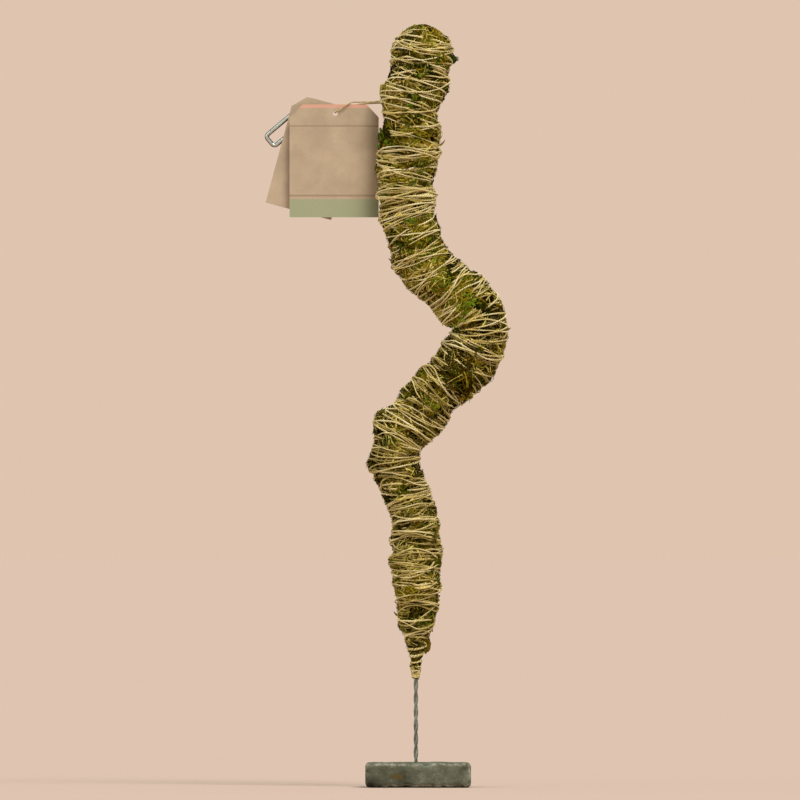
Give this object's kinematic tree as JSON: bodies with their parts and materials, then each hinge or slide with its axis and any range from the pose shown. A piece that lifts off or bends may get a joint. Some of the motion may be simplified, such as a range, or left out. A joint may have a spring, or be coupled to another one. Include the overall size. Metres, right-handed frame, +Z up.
{
  "type": "moss pole",
  "caption": "Bendable plant pole of moss bound with twine round a twisted wire core, standing in a square cast block, with hanging cards and a U-shaped steel pin on a string.",
  "frame": {"origin": "middle of the block's underside", "axes": "+Z up the pole, +X to the right in the plane of the pole's bends, +Y to the back"},
  "size_m": [0.2333, 0.102, 0.7321],
  "materials": {
    "block": "rough cast",
    "core_wire": "galvanised",
    "brown_moss": "dry fibrous",
    "moss": "dry fibrous",
    "twine": "matte fibre",
    "string": "matte fibre",
    "tag_card": "matte kraft",
    "folded_card": "matte kraft",
    "pin": "bright"
  },
  "bodies": {
    "stand": {"stand_block": "block"},
    "stake": {"stake_wire_a": "core_wire", "stake_wire_b": "core_wire"},
    "length_1": {"core_wire_1_a": "core_wire", "core_wire_1_b": "core_wire", "moss_length_1": "moss", "moss_collar_1": "brown_moss", "twine_winding_1": "twine"},
    "length_2": {"core_wire_2_a": "core_wire", "core_wire_2_b": "core_wire", "moss_length_2": "moss", "moss_collar_2": "brown_moss", "twine_winding_2": "twine"},
    "length_3": {"core_wire_3_a": "core_wire", "core_wire_3_b": "core_wire", "moss_length_3": "moss", "moss_collar_3": "brown_moss", "twine_winding_3": "twine"},
    "length_4": {"core_wire_4_a": "core_wire", "core_wire_4_b": "core_wire", "moss_length_4": "moss", "moss_collar_4": "brown_moss", "twine_winding_4": "twine"},
    "length_5": {"core_wire_5_a": "core_wire", "core_wire_5_b": "core_wire", "moss_length_5": "moss", "moss_collar_5": "brown_moss", "twine_winding_5": "twine"},
    "length_6": {"core_wire_6_a": "core_wire", "core_wire_6_b": "core_wire", "moss_length_6": "moss", "moss_collar_6": "brown_moss", "twine_winding_6": "twine"},
    "length_7": {"core_wire_7_a": "core_wire", "core_wire_7_b": "core_wire", "moss_length_7": "moss", "moss_collar_7": "brown_moss", "twine_winding_7": "twine"},
    "length_8": {"core_wire_8_a": "core_wire", "core_wire_8_b": "core_wire", "moss_length_8": "moss", "moss_collar_8": "brown_moss", "twine_winding_8": "twine", "tag_string": "string"},
    "crown": {"core_wire_9_a": "core_wire", "core_wire_9_b": "core_wire", "moss_crown": "moss", "twine_winding_crown": "twine"},
    "front_tag": {"front_tag": "tag_card"},
    "folded_card": {"folded_card": "folded_card"},
    "u_pin": {"u_pin": "pin"}
  },
  "joints": [
    {"name": "stake_pull", "type": "slide", "parent": "stand", "child": "stake", "axis": [0, 0, 1], "range_m": [0, 0.03]},
    {"name": "wire_bend", "type": "hinge", "parent": "stake", "child": "length_1", "pos_m": [-0.002, 0, 0.0773], "axis": [1, 0, 0], "range_deg": [-45, 45]},
    {"name": "moss_bend_1", "type": "hinge", "parent": "length_1", "child": "length_2", "pos_m": [-0.00161, 0, 0.1793], "axis": [0, 1, 0], "range_deg": [-24, 24], "deforming": ["moss_collar_1"]},
    {"name": "moss_bend_2", "type": "hinge", "parent": "length_2", "child": "length_3", "pos_m": [-0.00336, 0, 0.2548], "axis": [0.9739, 0, 0.2269], "range_deg": [-24, 24], "deforming": ["moss_collar_2"]},
    {"name": "moss_bend_3", "type": "hinge", "parent": "length_3", "child": "length_4", "pos_m": [-0.02225, 0, 0.32746], "axis": [0, 1, 0], "range_deg": [-36, 20], "deforming": ["moss_collar_3"]},
    {"name": "moss_bend_4", "type": "hinge", "parent": "length_4", "child": "length_5", "pos_m": [0.02014, 0, 0.38187], "axis": [0.7515, 0, -0.6598], "range_deg": [-24, 24], "deforming": ["moss_collar_4"]},
    {"name": "moss_bend_5", "type": "hinge", "parent": "length_5", "child": "length_6", "pos_m": [0.05867, 0, 0.43789], "axis": [0, 1, 0], "range_deg": [0, 40], "deforming": ["moss_collar_5"]},
    {"name": "moss_bend_6", "type": "hinge", "parent": "length_6", "child": "length_7", "pos_m": [0.02799, 0, 0.48058], "axis": [0.7136, 0, 0.7006], "range_deg": [-24, 24], "deforming": ["moss_collar_6"]},
    {"name": "moss_bend_7", "type": "hinge", "parent": "length_7", "child": "length_8", "pos_m": [-0.00441, 0, 0.52316], "axis": [0, 1, 0], "range_deg": [-32, 20], "deforming": ["moss_collar_7"]},
    {"name": "moss_bend_8", "type": "hinge", "parent": "length_8", "child": "crown", "pos_m": [-0.00012, 0, 0.68027], "axis": [0.9809, 0, -0.1944], "range_deg": [-24, 24], "deforming": ["moss_collar_8"]},
    {"name": "front_tag_swing", "type": "hinge", "parent": "length_8", "child": "front_tag", "pos_m": [-0.0795, 0.01275, 0.647], "axis": [0, 1, 0], "range_deg": [0, 45]},
    {"name": "folded_card_swing", "type": "hinge", "parent": "length_8", "child": "folded_card", "pos_m": [-0.0795, 0.0223, 0.647], "axis": [0, 1, 0], "range_deg": [-15, 30]},
    {"name": "pin_slide", "type": "slide", "parent": "folded_card", "child": "u_pin", "axis": [-0.766, 0, -0.6428], "range_m": [0, 0.05]}
  ]
}
